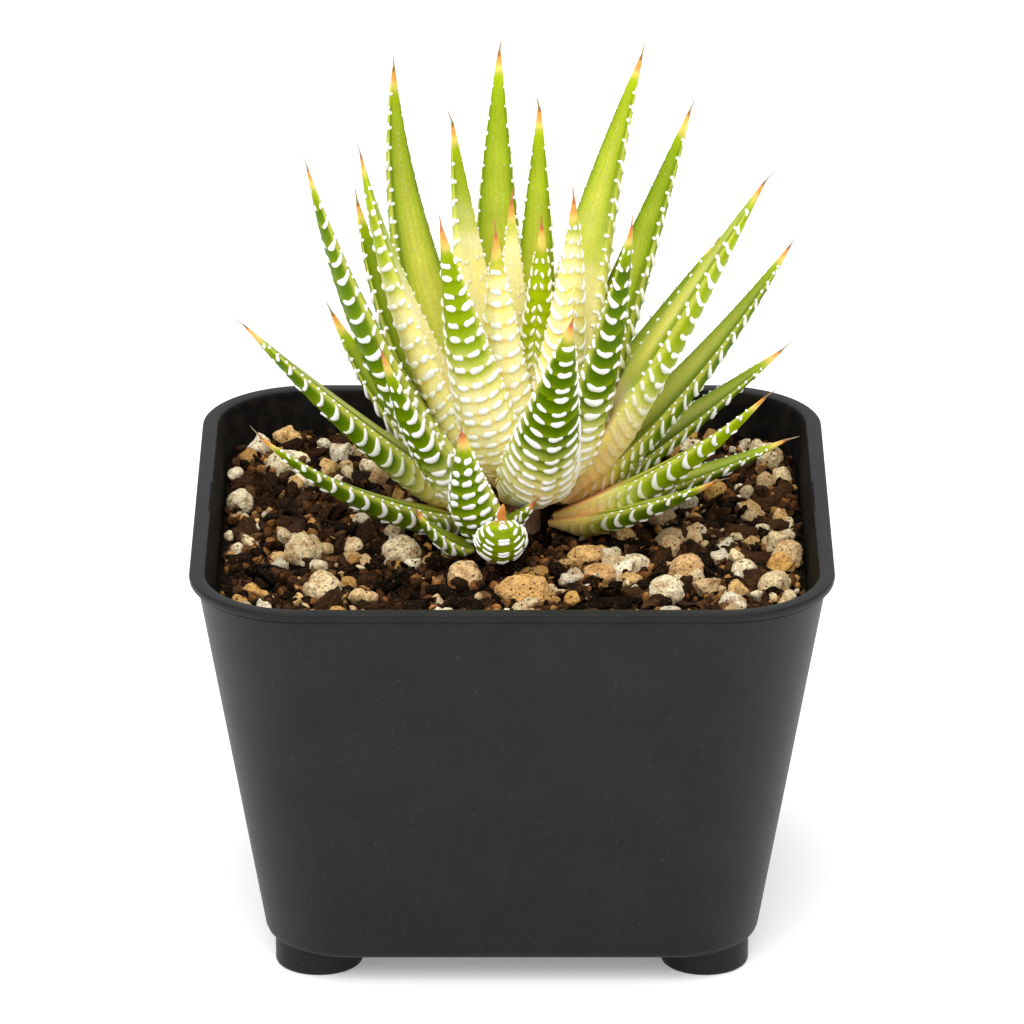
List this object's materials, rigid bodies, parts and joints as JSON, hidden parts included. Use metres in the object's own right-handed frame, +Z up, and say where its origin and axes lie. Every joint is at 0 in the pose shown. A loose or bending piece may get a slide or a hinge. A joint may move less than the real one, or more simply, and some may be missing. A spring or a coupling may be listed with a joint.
{
  "type": "potted haworthia",
  "caption": "Striped rosette succulent with thick pointed leaves and a small offset, rooted in bark mix with pumice in a square tapered nursery pot on round feet.",
  "frame": {"origin": "on the ground, under the centre of the square pot", "axes": "+Z up, along the plant's height; -Y is the front, the side where the small offset grows; +X to the right seen from the front"},
  "size_m": [0.09, 0.09, 0.1208],
  "materials": {
    "charcoal_plastic": "satin moulded polypropylene",
    "bark_mix": "damp bark and peat crumbs",
    "pumice": "rough, pitted",
    "stem_and_root_tissue": "fleshy, matt",
    "leaf_green": "waxy satin skin with raised white tubercles",
    "leaf_pale": "waxy satin skin, cream to lime"
  },
  "bodies": {
    "root": {"pot": "charcoal_plastic", "potting_mix": "bark_mix", "stem_and_roots": "stem_and_root_tissue", "heart_leaf_centre": "leaf_pale", "heart_leaf_left": "leaf_pale", "heart_leaf_rear": "leaf_pale", "heart_leaf_right": "leaf_pale", "pale_leaf_rear": "leaf_pale", "inner_leaf_front_left": "leaf_green", "inner_leaf_front_right": "leaf_green", "pale_leaf_left": "leaf_pale", "slim_leaf_rear": "leaf_green", "tall_leaf_rear": "leaf_green", "tall_leaf_rear_right": "leaf_green", "tall_leaf_rear_left": "leaf_green", "leaf_right": "leaf_green", "leaf_left": "leaf_green", "leaf_front": "leaf_green", "tall_leaf_right_rear": "leaf_green", "leaf_left_rear_tall": "leaf_green", "leaf_front_left": "leaf_green", "leaf_right_rear": "leaf_green", "outer_leaf_right_high": "leaf_green", "outer_leaf_left": "leaf_green", "leaf_left_rear": "leaf_green", "rear_leaf_middle": "leaf_green", "rear_leaf_right": "leaf_green", "rear_leaf_left": "leaf_green", "outer_leaf_right": "leaf_green", "outer_leaf_right_rear": "leaf_green", "outer_leaf_right_low": "leaf_green", "outer_leaf_right_front": "leaf_green", "outer_leaf_left_low": "leaf_green", "low_rear_leaf_left": "leaf_green", "low_rear_leaf_middle": "leaf_green", "low_rear_leaf_right": "leaf_green", "offset_leaf_tall": "leaf_green", "offset_leaf_round": "leaf_green", "offset_leaf_right": "leaf_green", "offset_leaf_left": "leaf_green", "pumice_left": "pumice", "pumice_front_left": "pumice", "pumice_left_middle": "pumice", "pumice_front_middle": "pumice", "pumice_front_large": "pumice", "pumice_front_right": "pumice", "pumice_right_middle": "pumice", "pumice_right": "pumice", "pumice_right_front": "pumice", "pumice_right_small": "pumice", "pumice_offset_right": "pumice", "pumice_middle_small": "pumice", "pumice_rear_left": "pumice", "pumice_left_small": "pumice", "pumice_rear_right": "pumice", "pumice_rear_small": "pumice"}
  },
  "joints": []
}
